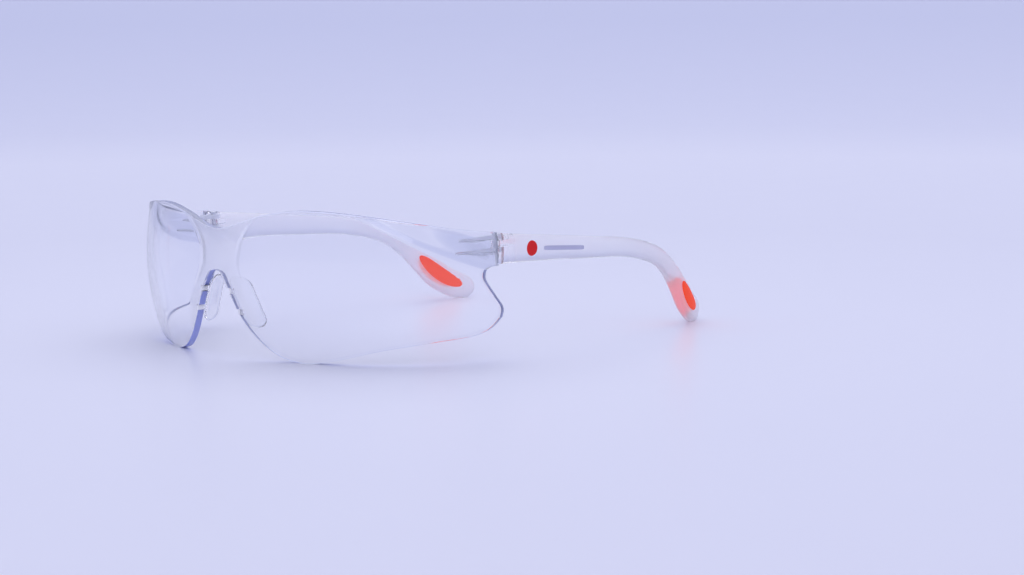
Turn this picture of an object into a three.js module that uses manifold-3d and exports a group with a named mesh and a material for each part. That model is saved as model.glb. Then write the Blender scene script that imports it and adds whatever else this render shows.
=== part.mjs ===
// Wraparound safety glasses with a one-piece clear lens and two folding temples. Millimetres, +Z up.
// X is sideways with the wearer's left at +X, and Y runs from the front of the lens to the temple tips.
// While it is drawn, y = 0 is the front of the bridge and z = 0 the surface the glasses stand on.
import * as THREE from "three";
import { mergeVertices } from "three/addons/utils/BufferGeometryUtils.js";
import Module from "manifold-3d";

const wasm = await Module();
wasm.setup();

// ---- Driving dimensions ----
const GAP = 0.3; // clearance between pieces that touch or turn on each other

const LENS = {
  bridgeCurvature: 1 / 110, // plan curvature at the bridge
  wrapGain: 2.52e-6, // what the plan curvature gains with the square of the arc length, 1/mm^3
  sagRadius: 78, // vertical radius of the face of the lens
  sagMidZ: 28.4, // height where the face stands plumb
  thickness: 2.2,
};

const END_ARC = 99; // arc length from the middle of the lens to its end face at the hinge

// Ribs of one half of the lens, from the middle backwards. Each joins a point of the lower outline to one of
// the upper outline: arc length, height, arc length, height.
const RIBS = [
  [0, 27.6, 0, 40.4],
  [3, 26.6, 3, 40.6],
  [5.6, 22.9, 6.5, 41.4],
  [10.2, 14, 11, 42.8],
  [16.2, 6.7, 17, 44.5],
  [23.5, 1.8, 24, 45.9],
  [31, 0, 30.5, 46.6],
  [36, 0, 36, 46.7],
  [46, 1.7, 45, 46.3],
  [60, 4.7, 57, 45],
  [76, 6.8, 71, 43],
  [90, 7.9, 83, 41.1],
  [98, 9.6, 90, 40.2],
  [102.4, 13, 94.5, 39.7],
];
// Behind the last rib the outline turns up round the wing into a notch, and a short tab runs on from the
// notch to the end face: arc length, height.
const REAR_EDGE = [[102.4, 13], [102.4, 16], [98.6, 20], [94.2, 24.8], [93.7, 27], [94.3, 28.3]];
const TAB_FOOT = [[94.3, 28.3], [96, 29], [END_ARC, 29.2]];
const TAB_HEAD = [[94.5, 39.7], [END_ARC, 39.2]];

const COLUMN_SPACING = 3.6; // of the grid on the lens, along its lower outline
const LENS_ROWS = 10;
const REAR_ROWS = 6; // rows that end on the rear edge, and the rest run on into the tab
const TAB_COLUMNS = 2;

// The bridge is a shallow saddle between two creases, pressed in behind the face.
const BRIDGE = {
  depth: 1.5,
  midZ: 34,
  spreadUp: 7.5,
  spreadDown: 10,
  midShare: 0.5, // share of the depth that is left on the middle line
  fade: 5, // arc length in which the panel rises back to the face
};
const CREASE = [[17, 4], [15.4, 13.5], [11.4, 22], [8.4, 28], [8, 31], [9.1, 36], [12.8, 41], [17, 44.6]];

// The end block is a raised and thickened triangle that runs back to the hinge.
const BLOCK = {
  start: 58, // arc length where its point begins
  rise: 15.6, // how far the crest line falls from there to the hinge
  footZ: 28.2,
  bend: 1.4, // power of the crest line
  soft: 3, // width of the step at the crest line
  ramp: 9, // height above the crest line in which the back reaches its full thickness
  raise: 0.4,
  thicken: 1.8,
  thickenFrom: 66,
  thickenTo: 94,
};

const HINGE = {
  z: 35.4, // middle of the knuckle
  pinX: 66.2,
  pinBehind: 2.8, // pin axis behind the end face of the lens
  ear: 1.4,
  knuckle: 1.6,
  radius: 2.2,
  bore: 1.1,
  rib: 15, // length of the ear's rib along the back of the lens
  ribEnd: 1.6, // width of the rib's front end
  blend: 3, // how far in front of the end face the ear's eye runs into the lens
  fairing: 10, // length of the knuckle's foot on the inside of the temple
  fairingRise: 3.4, // how far outside the pin axis the foot is rooted
  fairingDepth: 2,
};

// Temple stations: y, outer face x, middle z, height, thickness.
const TEMPLE = [
  [52.5, 71, 34.2, 10, 4.4],
  [60, 71, 33.8, 9, 4.1],
  [80, 70.8, 32.6, 7.8, 3.7],
  [100, 70.2, 31.2, 6.9, 3.4],
  [115, 69.2, 30, 6.3, 3.4],
  [127, 67.8, 27.9, 6.1, 3.5],
  [136, 66.3, 25, 6, 3.7],
  [144, 64.6, 19.9, 6.8, 3.9],
  [150, 62.9, 14.8, 8.1, 4.1],
  [157, 60.2, 9.2, 10.2, 4.2],
  [164, 56.9, 5.4, 10, 4.1],
  [172.5, 52.3, 3.2, 7.4, 3.4],
];
const TIP_ROUND = 5; // length of the rounded end
const TIP_RINGS = [20, 40, 58, 72, 82]; // where its rings stand, in degrees round the end
const TEMPLE_STEPS = 28;
const SECTION_SIDES = 14;
const SECTION_POWER = 2.6; // 2 is an ellipse, more is squarer
const TIP_FLAT = 0.4; // share of the thickness that is left at the very end

// Oval inlays: place along the temple as a share of its length, size and rise on each face, how deep they sit
// and stand out, and the grid on their faces.
const INLAY = {
  place: 0.858,
  outer: { halfLength: 9.6, halfHeight: 2.9, rise: 0.4 },
  inner: { halfLength: 11.2, halfHeight: 2.6, rise: 1 },
  depth: 1.1,
  proud: 0.15,
  columns: 10,
  rows: 6,
};

const NOSE_PAD = {
  thickness: 1.5,
  back: 6.7, // reach behind the lens
  topZ: 25.4,
  bottomZ: 10.2,
  corner: 3,
  bevel: 0.35,
  clipZ: [21.3, 15], // heights of the two clips
  clipHeight: 1.6,
  clipReach: 1.3, // how far a clip's notch goes into the edge of the lens
  clipWidth: 1.1,
  clipProud: 0.15, // how far a clip stands out in front of the lens
  clipRoot: 1.2, // how deep behind the pad's front edge a clip starts
  inset: 0.3, // of the pad's nose side from the nose edge
  splay: 0.25, // sideways run of the pad per mm behind the lens
};

const SCREW = { shank: 0.75, head: 1.5, headHeight: 0.7, edge: 0.2, slot: 0.4 };

// ---- Materials ----
const material = (color, roughness, metalness = 0, opacity = 1) =>
  new THREE.MeshStandardMaterial({ color, roughness, metalness, opacity, transparent: opacity < 1 });
const CLEAR = () => material(0xdfe5fb, 0.05, 0, 0.25);
const SOFT_CLEAR = () => material(0xe8ecfb, 0.25, 0, 0.45);
const FROSTED = () => material(0xd9d6ee, 0.5, 0, 0.85);
const ORANGE = () => material(0xff4a1c, 0.45);
const STEEL = () => material(0xb4b6ba, 0.3, 1);

// ---- Helpers ----
const smooth = (x) => THREE.MathUtils.smoothstep(x, 0, 1);
const curve2 = (points) => new THREE.SplineCurve(points.map(([a, b]) => new THREE.Vector2(a, b)));

// A geometry from points and triangles, turned so that its faces point out.
function facetted(points, triangles) {
  let volume = 0;
  for (let i = 0; i < triangles.length; i += 3) {
    const [a, b, c] = [0, 1, 2].map((k) => points[triangles[i + k]]);
    volume += a.dot(b.clone().cross(c));
  }
  const index = volume < 0 ? [...triangles].reverse() : triangles;
  return new THREE.BufferGeometry().setFromPoints(points).setIndex(index);
}

// A closed sheet: point(i, j, side) gives the grid on each of its two sides, has(i, j) tells which of its
// cells are there, and walls join the two sides along the rim.
function sheet(columns, rows, point, has = () => true) {
  const points = [];
  const triangles = [];
  const at = (i, j, side) => (side * (columns + 1) + i) * (rows + 1) + j;
  for (const side of [0, 1]) {
    for (let i = 0; i <= columns; i++) {
      for (let j = 0; j <= rows; j++) points.push(point(i, j, side));
    }
  }
  const quad = (a, b, c, d) => triangles.push(a, b, c, a, c, d);
  const wall = ([i, j], [k, l]) => quad(at(i, j, 0), at(i, j, 1), at(k, l, 1), at(k, l, 0));
  const inside = (i, j) => i >= 0 && j >= 0 && i < columns && j < rows && has(i, j);
  for (let i = 0; i < columns; i++) {
    for (let j = 0; j < rows; j++) {
      if (!inside(i, j)) continue;
      quad(at(i, j, 0), at(i + 1, j, 0), at(i + 1, j + 1, 0), at(i, j + 1, 0));
      quad(at(i, j, 1), at(i, j + 1, 1), at(i + 1, j + 1, 1), at(i + 1, j, 1));
      if (!inside(i, j - 1)) wall([i, j], [i + 1, j]);
      if (!inside(i + 1, j)) wall([i + 1, j], [i + 1, j + 1]);
      if (!inside(i, j + 1)) wall([i + 1, j + 1], [i, j + 1]);
      if (!inside(i - 1, j)) wall([i, j + 1], [i, j]);
    }
  }
  return facetted(points, triangles);
}

// A closed tube through rings of equal count, with flat ends.
function loft(rings) {
  const count = rings[0].length;
  const points = rings.flat();
  const triangles = [];
  for (let r = 0; r + 1 < rings.length; r++) {
    for (let k = 0; k < count; k++) {
      const [a, b] = [r * count + k, r * count + ((k + 1) % count)];
      triangles.push(a, b, b + count, a, b + count, a + count);
    }
  }
  const last = (rings.length - 1) * count;
  for (let k = 1; k + 1 < count; k++) {
    triangles.push(0, k + 1, k);
    triangles.push(last, last + k, last + k + 1);
  }
  return facetted(points, triangles);
}

// A plan outline (x, y) stood up from z0 to z1.
function upright(shape, z0, z1) {
  const g = new THREE.ExtrudeGeometry(shape, { depth: z1 - z0, bevelEnabled: false, curveSegments: 12 });
  return g.translate(0, 0, z0);
}

function box(x0, x1, y0, y1, z0, z1) {
  const g = new THREE.BoxGeometry(x1 - x0, y1 - y0, z1 - z0);
  return g.translate((x0 + x1) / 2, (y0 + y1) / 2, (z0 + z1) / 2);
}

function solid(geometry) {
  const bare = geometry.clone();
  bare.deleteAttribute("normal");
  bare.deleteAttribute("uv");
  const merged = mergeVertices(bare, 1e-4);
  const vertProperties = new Float32Array(merged.attributes.position.array);
  const triVerts = new Uint32Array(merged.index.array);
  return new wasm.Manifold(new wasm.Mesh({ numProp: 3, vertProperties, triVerts }));
}

function geometryOf(body) {
  const mesh = body.getMesh();
  const g = new THREE.BufferGeometry();
  g.setAttribute("position", new THREE.BufferAttribute(new Float32Array(mesh.vertProperties), 3));
  g.setIndex(new THREE.BufferAttribute(new Uint32Array(mesh.triVerts), 1));
  g.computeVertexNormals();
  return g;
}

// ---- The face of the lens ----
const ARC_STEP = 0.25;
const PLAN_LENGTH = 110;
const plan = [{ x: 0, y: 0, turn: 0 }]; // the level curve of the face, one entry per arc step
for (let s = ARC_STEP; s < PLAN_LENGTH; s += ARC_STEP) {
  const turn = Math.min(Math.PI / 2, LENS.bridgeCurvature * s + (LENS.wrapGain * s ** 3) / 3);
  const before = plan[plan.length - 1];
  const mid = (turn + before.turn) / 2;
  plan.push({ x: before.x + Math.cos(mid) * ARC_STEP, y: before.y + Math.sin(mid) * ARC_STEP, turn });
}

function planAt(arc) {
  const k = arc / ARC_STEP;
  const i = Math.min(Math.floor(k), plan.length - 2);
  const mix = (key) => THREE.MathUtils.lerp(plan[i][key], plan[i + 1][key], k - i);
  return { x: mix("x"), y: mix("y"), turn: mix("turn") };
}

const creaseLine = curve2(CREASE.map(([arc, z]) => [z, arc])).getSpacedPoints(60);
function creaseArc(z) {
  const i = Math.max(1, creaseLine.findIndex((p) => p.x >= z));
  const [a, b] = [creaseLine[i - 1], creaseLine[i]];
  return THREE.MathUtils.lerp(a.y, b.y, THREE.MathUtils.clamp((z - a.x) / (b.x - a.x), 0, 1));
}

function bridgeDepth(arc, z) {
  const spread = z > BRIDGE.midZ ? BRIDGE.spreadUp : BRIDGE.spreadDown;
  const depth = BRIDGE.depth * Math.exp(-(((z - BRIDGE.midZ) / spread) ** 2));
  const crease = creaseArc(z);
  if (arc > crease) return depth * Math.exp(-(arc - crease) / BRIDGE.fade);
  return depth * (BRIDGE.midShare + (1 - BRIDGE.midShare) * (arc / crease) ** 2);
}

// Height above the crest line of the end block.
function aboveCrest(arc, z) {
  const left = THREE.MathUtils.clamp((END_ARC - arc) / (END_ARC - BLOCK.start), 0, 1.2);
  return z - BLOCK.footZ - BLOCK.rise * left ** BLOCK.bend;
}

// A point of the lens: arc is signed, and depth runs from 0 on the face to 1 on the back.
function lensPoint(arc, z, depth) {
  const side = Math.sign(arc) || 1;
  const a = Math.abs(arc);
  const { x, y, turn } = planAt(a);
  const above = aboveCrest(a, z);
  const raised = BLOCK.raise * smooth(above / BLOCK.soft + 0.5);
  const backwards = smooth((a - BLOCK.thickenFrom) / (BLOCK.thickenTo - BLOCK.thickenFrom));
  const thickened = BLOCK.thicken * backwards * smooth(above / BLOCK.ramp);
  const slope = (z - LENS.sagMidZ) / LENS.sagRadius;
  const wall = LENS.thickness * Math.hypot(1, slope) + raised + thickened;
  const inward = ((z - LENS.sagMidZ) * slope) / 2 + bridgeDepth(a, z) - raised + depth * wall;
  return new THREE.Vector3(side * (x - Math.sin(turn) * inward), y + Math.cos(turn) * inward, z);
}

// Where the columns of the grid stand, as shares of the list of ribs.
function columnShares() {
  const shares = [];
  for (let i = 0; i + 1 < RIBS.length; i++) {
    const [[a, z], [nextA, nextZ]] = [RIBS[i], RIBS[i + 1]];
    const steps = Math.ceil(Math.hypot(nextA - a, nextZ - z) / COLUMN_SPACING);
    for (let k = 0; k < steps; k++) shares.push((i + k / steps) / (RIBS.length - 1));
  }
  return [...shares, 1];
}

const lowCurve = curve2(RIBS.map(([a, z]) => [a, z]));
const highCurve = curve2(RIBS.map(([, , a, z]) => [a, z]));
const rearCurve = curve2(REAR_EDGE);
const tabFoot = curve2(TAB_FOOT);
const tabHead = curve2(TAB_HEAD);

// Arc length and height of a grid point between two ribs, for a share of the list of ribs and a row.
function ribPoint(share, row) {
  const straight = (from, to) => from.lerp(to, row / LENS_ROWS);
  const p = straight(lowCurve.getPoint(share), highCurve.getPoint(share));
  const lastRib = straight(lowCurve.getPoint(1), highCurve.getPoint(1));
  const rear = row <= REAR_ROWS ? rearCurve.getPoint(row / REAR_ROWS) : tabPoint(0, row);
  return p.addScaledVector(rear.sub(lastRib), share ** 3);
}

function tabPoint(share, row) {
  return tabFoot.getPoint(share).lerp(tabHead.getPoint(share), (row - REAR_ROWS) / (LENS_ROWS - REAR_ROWS));
}

function lensBlank() {
  const shares = columnShares();
  const ribs = shares.length - 1;
  const half = ribs + TAB_COLUMNS;
  const place = (i, j, side) => {
    const k = Math.abs(i - half);
    const p = k <= ribs ? ribPoint(shares[k], j) : tabPoint((k - ribs) / TAB_COLUMNS, Math.max(j, REAR_ROWS));
    return lensPoint(Math.sign(i - half) * p.x, Math.max(0, p.y), side);
  };
  const has = (i, j) => j >= REAR_ROWS || Math.abs(i + 0.5 - half) < ribs;
  return sheet(2 * half, LENS_ROWS, place, has);
}

// ---- Hinge ----
const endFaceY = planAt(END_ARC).y;
const pinY = endFaceY + HINGE.pinBehind;
const knuckleLow = HINGE.z - HINGE.knuckle / 2;
const knuckleHigh = HINGE.z + HINGE.knuckle / 2;
const EARS = [
  [knuckleHigh + GAP, knuckleHigh + GAP + HINGE.ear],
  [knuckleLow - GAP - HINGE.ear, knuckleLow - GAP],
];

function disc(radius) {
  const shape = new THREE.Shape();
  shape.absarc(HINGE.pinX, pinY, radius, 0, 2 * Math.PI);
  return shape;
}

// Plan of an ear: an eye round the pin on a rib that runs forward along the back of the lens.
function earShape() {
  const shape = new THREE.Shape();
  shape.absarc(HINGE.pinX, pinY, HINGE.radius, 0, Math.PI);
  const { x, turn } = planAt(END_ARC - HINGE.rib);
  const ribY = endFaceY - HINGE.rib;
  const backX = x - Math.sin(turn) * LENS.thickness;
  shape.lineTo(HINGE.pinX - HINGE.radius, endFaceY - HINGE.blend / 3);
  shape.lineTo(backX - HINGE.ribEnd / 2, ribY + HINGE.ribEnd / 2);
  shape.lineTo(backX + HINGE.ribEnd / 2, ribY);
  shape.lineTo(HINGE.pinX + HINGE.radius, endFaceY - HINGE.blend);
  return shape;
}

const pinBore = () => solid(upright(disc(HINGE.bore), HINGE.z - HINGE.rib, HINGE.z + HINGE.rib));

// Arc length of the nose edge at a height.
function noseArc(z) {
  return lowCurve.getPoints(400).find((p) => p.y <= z).x;
}

// A notch in the nose edge for one clip of a nose pad.
function padNotch(z) {
  const p = lensPoint(noseArc(z), z, 0);
  const half = NOSE_PAD.clipHeight / 2 + GAP;
  const reach = NOSE_PAD.clipReach;
  const deep = 3 * LENS.thickness;
  return box(p.x - 4 * reach, p.x + reach, p.y - deep, p.y + deep, z - half, z + half);
}

// Joins or cuts a tool on the left and its mirror image on the right.
const joinBoth = (body, tool) => body.add(tool).add(tool.mirror([1, 0, 0]));
const cutBoth = (body, tool) => body.subtract(tool).subtract(tool.mirror([1, 0, 0]));

function lens() {
  let body = solid(lensBlank());
  for (const [low, high] of EARS) body = joinBoth(body, solid(upright(earShape(), low, high)));
  body = cutBoth(body, pinBore());
  for (const z of NOSE_PAD.clipZ) body = cutBoth(body, solid(padNotch(z)));
  return geometryOf(body);
}

// ---- Temples ----
const templeOuter = new THREE.CatmullRomCurve3(TEMPLE.map(([y, x, z]) => new THREE.Vector3(x, y, z)));
const templeSize = new THREE.CatmullRomCurve3(TEMPLE.map(([, , , h, t]) => new THREE.Vector3(h, t, 0)));
const templeLength = templeOuter.getLength();

// The temple's frame at a share u of its length: a point on the outer face, its outward and upward
// directions, and its size there.
function templeFrame(u) {
  const t = templeOuter.getUtoTmapping(u);
  const along = templeOuter.getTangent(t);
  const out = new THREE.Vector3(along.y, -along.x, 0).normalize();
  const up = out.clone().cross(along).normalize();
  const size = templeSize.getPoint(t);
  return { origin: templeOuter.getPoint(t), out, up, height: size.x, thickness: size.y };
}

// Place on the temple: rise from the middle line, and depth behind the outer face.
function templePoint(u, rise, depth) {
  const f = templeFrame(u);
  return f.origin.addScaledVector(f.up, rise).addScaledVector(f.out, -depth);
}

function templeRing(u, scale) {
  const { height, thickness } = templeFrame(u);
  const ring = [];
  for (let k = 0; k < SECTION_SIDES; k++) {
    const a = (2 * Math.PI * (k + 0.5)) / SECTION_SIDES;
    const squared = (c) => Math.sign(c) * Math.abs(c) ** (2 / SECTION_POWER);
    const rise = (height / 2) * scale * squared(Math.sin(a));
    const depth = (thickness / 2) * (1 - THREE.MathUtils.lerp(TIP_FLAT, 1, scale) * squared(Math.cos(a)));
    const p = templePoint(u, rise, depth);
    p.z = Math.max(0, p.z); // the tip rests on a small flat
    ring.push(p);
  }
  return ring;
}

function templeBlank() {
  const rings = [];
  for (let i = 0; i <= TEMPLE_STEPS; i++) {
    rings.push(templeRing((i / TEMPLE_STEPS) * (1 - TIP_ROUND / templeLength), 1));
  }
  for (const degrees of TIP_RINGS) {
    const angle = THREE.MathUtils.degToRad(degrees);
    const u = 1 - (TIP_ROUND * (1 - Math.sin(angle))) / templeLength;
    rings.push(templeRing(u, Math.cos(angle)));
  }
  return loft(rings);
}

// Oval inlay in one face of the tip, or with grow > 0 the pocket that holds it.
function inlayGeometry(face, grow) {
  const { halfLength, halfHeight, rise: middle } = INLAY[face];
  const reach = INLAY.depth + grow;
  const stand = INLAY.proud + 4 * grow;
  return sheet(INLAY.columns, INLAY.rows, (i, j, side) => {
    const [a, b] = [(2 * i) / INLAY.columns - 1, (2 * j) / INLAY.rows - 1];
    const along = a * Math.sqrt(1 - b ** 2 / 2) * (halfLength + grow);
    const rise = middle + b * Math.sqrt(1 - a ** 2 / 2) * (halfHeight + grow);
    const u = INLAY.place + along / templeLength;
    const { thickness } = templeFrame(u);
    const depth = side ? reach : -stand;
    return templePoint(u, rise, face === "outer" ? depth : thickness - depth);
  });
}

// The middle knuckle of the hinge, faired into the inner face of the temple.
function knuckleShape() {
  const shape = new THREE.Shape();
  shape.absarc(HINGE.pinX, pinY, HINGE.radius, Math.PI, 1.5 * Math.PI);
  shape.lineTo(HINGE.pinX + HINGE.fairingRise, pinY - HINGE.radius);
  shape.lineTo(HINGE.pinX + HINGE.fairingRise, pinY + HINGE.fairing);
  shape.lineTo(HINGE.pinX + HINGE.fairingRise - HINGE.fairingDepth, pinY + HINGE.fairing);
  shape.lineTo(HINGE.pinX - HINGE.radius, pinY + HINGE.radius / 2);
  return shape;
}

// The temple, cut away round the ears and ending in a plumb face behind the lens.
function templeLeft() {
  let body = solid(templeBlank());
  const swing = HINGE.radius + GAP;
  const [high, low] = [knuckleHigh + GAP / 2, knuckleLow - GAP / 2];
  const [inside, outside, ahead, above] = [HINGE.pinX - 15, HINGE.pinX + 15, endFaceY - 15, HINGE.z + 15];
  for (const [z0, z1] of [[high, above], [0, low]]) {
    body = body.subtract(solid(box(inside, HINGE.pinX + swing, ahead, pinY, z0, z1)));
    body = body.subtract(solid(box(inside, HINGE.pinX, ahead, pinY + swing, z0, z1)));
    body = body.subtract(solid(upright(disc(swing), z0, z1)));
  }
  body = body.subtract(solid(box(inside, HINGE.pinX + HINGE.bore, ahead, pinY, low, high)));
  body = body.subtract(solid(box(inside, outside, ahead, endFaceY + GAP, 0, above)));
  body = body.add(solid(upright(knuckleShape(), knuckleLow, knuckleHigh)));
  body = body.subtract(pinBore());
  for (const face of ["outer", "inner"]) body = body.subtract(solid(inlayGeometry(face, GAP)));
  return geometryOf(body);
}

// ---- Nose pads ----
const PAD_CURVE = 0.1; // room for the bend of the nose edge between the clips

// A flat wing behind the nose edge, sheared to follow it, with two clips through the notches of the lens.
function nosePadLeft() {
  const { topZ, bottomZ, corner, bevel, back, thickness, splay } = NOSE_PAD;
  const w = back - bevel;
  const shape = new THREE.Shape();
  shape.moveTo(bevel, bottomZ + corner);
  shape.quadraticCurveTo(bevel, bottomZ + bevel, corner, bottomZ + bevel);
  shape.lineTo(w - corner, bottomZ + bevel);
  shape.quadraticCurveTo(w, bottomZ + bevel, w, bottomZ + corner + 1);
  shape.lineTo(w, topZ - corner - 1);
  shape.quadraticCurveTo(w, topZ - bevel, w - corner, topZ - bevel);
  shape.lineTo(corner, topZ - bevel);
  shape.quadraticCurveTo(bevel, topZ - bevel, bevel, topZ - corner);
  const wing = new THREE.ExtrudeGeometry(shape, {
    depth: thickness - 2 * bevel,
    bevelThickness: bevel,
    bevelSize: bevel,
    bevelSegments: 2,
    curveSegments: 6,
  });
  const [zTop, zLow] = NOSE_PAD.clipZ;
  const [top, low] = [zTop, zLow].map((z) => lensPoint(noseArc(z), z, 1));
  const lean = (low.x - top.x) / (zLow - zTop);
  const recede = (low.y - top.y) / (zLow - zTop);
  const place = (depth, z, across) => {
    const x = top.x + lean * (z - zTop) + splay * depth + across - NOSE_PAD.inset;
    const y = top.y + recede * (z - zTop) + depth + GAP + PAD_CURVE;
    return new THREE.Vector3(x, y, z);
  };
  const p = wing.attributes.position;
  for (let i = 0; i < p.count; i++) {
    const v = place(p.getX(i), p.getY(i), p.getZ(i));
    p.setXYZ(i, v.x, v.y, v.z);
  }
  let body = solid(wing);
  for (const z of NOSE_PAD.clipZ) body = body.add(solid(clip(z, place(NOSE_PAD.clipRoot, z, 0))));
  return geometryOf(body);
}

// One clip: a stem through the notch and a small head in front of the lens.
function clip(z, root) {
  const face = lensPoint(noseArc(z), z, 0);
  const half = NOSE_PAD.clipHeight / 2;
  const inner = face.x + NOSE_PAD.clipReach - GAP;
  return box(inner - NOSE_PAD.clipWidth, inner, face.y - NOSE_PAD.clipProud, root.y + 1, z - half, z + half);
}

// ---- Screw ----
function screw() {
  const low = EARS[1][0] + GAP;
  const seat = EARS[0][1] + GAP;
  const top = seat + SCREW.headHeight;
  const profile = [
    [0, low],
    [SCREW.shank, low],
    [SCREW.shank, seat],
    [SCREW.head, seat],
    [SCREW.head, top - SCREW.edge],
    [SCREW.head - SCREW.edge, top],
    [0, top],
  ];
  const turned = new THREE.LatheGeometry(profile.map(([r, z]) => new THREE.Vector2(r, z)), 20);
  turned.rotateX(Math.PI / 2);
  const half = SCREW.slot / 2;
  const slot = box(-2 * SCREW.head, 2 * SCREW.head, -half, half, top - SCREW.slot, top + SCREW.slot);
  const body = solid(turned).subtract(solid(slot));
  return geometryOf(body.translate([HINGE.pinX, pinY, 0]));
}

// ---- Assembly ----
const group = new THREE.Group();

function addMesh(name, geometry, look) {
  const mesh = new THREE.Mesh(geometry, look);
  mesh.name = name;
  group.add(mesh);
}

function mirrored(geometry) {
  return geometryOf(solid(geometry).mirror([1, 0, 0]));
}

function addPair(name, geometry, look) {
  addMesh(name + "_left", geometry, look());
  addMesh(name + "_right", mirrored(geometry), look());
}

addMesh("lens", lens(), CLEAR());
addPair("nose_pad", nosePadLeft(), SOFT_CLEAR);
addPair("temple", templeLeft(), FROSTED);
addPair("tip_inlay_outer", inlayGeometry("outer", 0), ORANGE);
addPair("tip_inlay_inner", inlayGeometry("inner", 0), ORANGE);
addPair("hinge_screw", screw(), STEEL);

// The part's origin is the middle of its footprint, on the surface it stands on.
const bounds = new THREE.Box3().setFromObject(group);
const centre = bounds.getCenter(new THREE.Vector3());
group.position.set(-centre.x, -centre.y, -bounds.min.z);

export default group;
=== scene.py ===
"""Clear wraparound safety glasses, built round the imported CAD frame. Lengths are in millimetres until a
piece is made, and every piece is placed in the row frame, in metres."""
import math

import bmesh
import bpy
import numpy as np
from mathutils import Matrix, Vector


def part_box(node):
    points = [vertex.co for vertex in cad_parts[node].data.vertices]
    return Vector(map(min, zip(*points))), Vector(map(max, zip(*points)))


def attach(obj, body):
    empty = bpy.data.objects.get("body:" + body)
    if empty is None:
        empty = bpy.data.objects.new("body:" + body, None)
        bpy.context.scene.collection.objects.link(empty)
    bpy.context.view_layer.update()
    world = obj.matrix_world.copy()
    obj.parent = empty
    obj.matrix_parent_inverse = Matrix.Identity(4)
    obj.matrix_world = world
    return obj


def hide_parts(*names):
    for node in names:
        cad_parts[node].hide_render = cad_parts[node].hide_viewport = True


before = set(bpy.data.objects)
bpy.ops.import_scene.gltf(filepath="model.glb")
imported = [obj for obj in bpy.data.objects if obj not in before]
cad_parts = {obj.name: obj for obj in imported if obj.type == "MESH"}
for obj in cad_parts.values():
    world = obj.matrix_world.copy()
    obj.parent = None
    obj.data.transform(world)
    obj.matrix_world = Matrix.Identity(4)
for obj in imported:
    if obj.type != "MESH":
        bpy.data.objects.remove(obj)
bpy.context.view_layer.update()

MM = 0.001

# ---- Driving dimensions ----
# They are the CAD model's, except that the inlays, pads and clips are shaped for their looks.
BRIDGE_CURVATURE = 1 / 110  # plan curvature of the face at the bridge
WRAP_GAIN = 2.52e-6  # what the plan curvature gains with the square of the arc length
SAG_RADIUS = 78  # vertical radius of the face
SAG_MID_Z = 28.4  # height where the face is plumb
THICKNESS = 2.2
END_ARC = 99  # arc length from the middle of the lens to its end face at the hinge

# Ribs of one half of the lens: arc length and height on the lower outline, then on the upper one.
RIBS = np.array([
    [0, 27.6, 0, 40.4], [3, 26.6, 3, 40.6], [5.6, 22.9, 6.5, 41.4], [10.2, 14, 11, 42.8],
    [16.2, 6.7, 17, 44.5], [23.5, 1.8, 24, 45.9], [31, 0, 30.5, 46.6], [36, 0, 36, 46.7],
    [46, 1.7, 45, 46.3], [60, 4.7, 57, 45], [76, 6.8, 71, 43], [90, 7.9, 83, 41.1],
    [98, 9.6, 90, 40.2], [102.4, 13, 94.5, 39.7],
])
REAR_EDGE = np.array([[102.4, 13], [102.4, 16], [98.6, 20], [94.2, 24.8], [93.7, 27], [94.3, 28.3]])
TAB_FOOT = np.array([[94.3, 28.3], [96, 29], [END_ARC, 29.2]])
TAB_HEAD = np.array([[94.5, 39.7], [END_ARC, 39.2]])
REAR_SHARE = 0.6  # share of the height where the rear edge ends and the tab begins
CREASE_RIB = 4  # the rib whose ends are the ends of the bridge crease
CREASE_END = 0.12  # share of the height in which a bent column joins the outlines again
CREASE_FADE = 2.2  # the bending ends at this many times the crease rib's share of the list

# The bridge is pressed in round one height, between two creases, and the dent fades beyond them.
BRIDGE = dict(depth=1.5, mid_z=34, up=7.5, down=10, mid_share=0.5, fade=5)
# Arc length and height along a crease.
CREASE = np.array([[17, 4], [15.4, 13.5], [11.4, 22], [8.4, 28], [8, 31], [9.1, 36], [12.8, 41], [17, 44.6]])
# The end block is raised and thickened above a crest line that falls from the brow to the hinge.
BLOCK = dict(start=58, rise=15.6, foot_z=28.2, bend=1.4, furthest=1.2, soft=3, ramp=9, lift=0.4, thicken=1.8,
             low=66, high=94)

# The screw's place, and the ears, knuckle, ribs and fairing round it.
HINGE = dict(z=35.4, x=66.2, behind=2.8, ear=1.4, knuckle=1.6, radius=2.2, bore=1.1, rib=15, rib_end=1.6,
             rib_taper=0.45, blend=3, fairing=10, fairing_rise=3.4, fairing_depth=2)
GAP = 0.3  # between parts that move or meet
BEYOND = 15  # how far a cutting tool reaches past what it cuts

# Temple stations: y, outer face x, middle z, height, thickness.
TEMPLE = np.array([
    [52.5, 71, 34.2, 10, 4.4], [60, 71, 33.8, 9, 4.1], [80, 70.8, 32.6, 7.8, 3.7], [100, 70.2, 31.2, 6.9, 3.4],
    [115, 69.2, 30, 6.3, 3.4], [127, 67.8, 27.9, 6.1, 3.5], [136, 66.3, 25, 6, 3.7],
    [144, 64.6, 19.9, 6.8, 3.9], [150, 62.9, 14.8, 8.1, 4.1], [157, 60.2, 9.2, 10.2, 4.2],
    [164, 56.9, 5.4, 10, 4.1], [172.5, 52.3, 3.2, 7.4, 3.4],
])
TIP_ROUND = 5  # length of the rounded end
TIP_FLAT = 0.4  # share of the thickness that is left at the very end
SECTION_POWER = 2.6  # 2 is an oval section, and more is squarer

# Oval inlays: share of the temple's length where they sit, how deep, and how far they stand out.
INLAY = dict(place=0.858, depth=0.5, proud=0.15)
INLAY_FACES = dict(outer=dict(half_length=9.6, half_height=2.9, rise=0.4),
                   inner=dict(half_length=11.6, half_height=2.6, rise=0.8))
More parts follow.
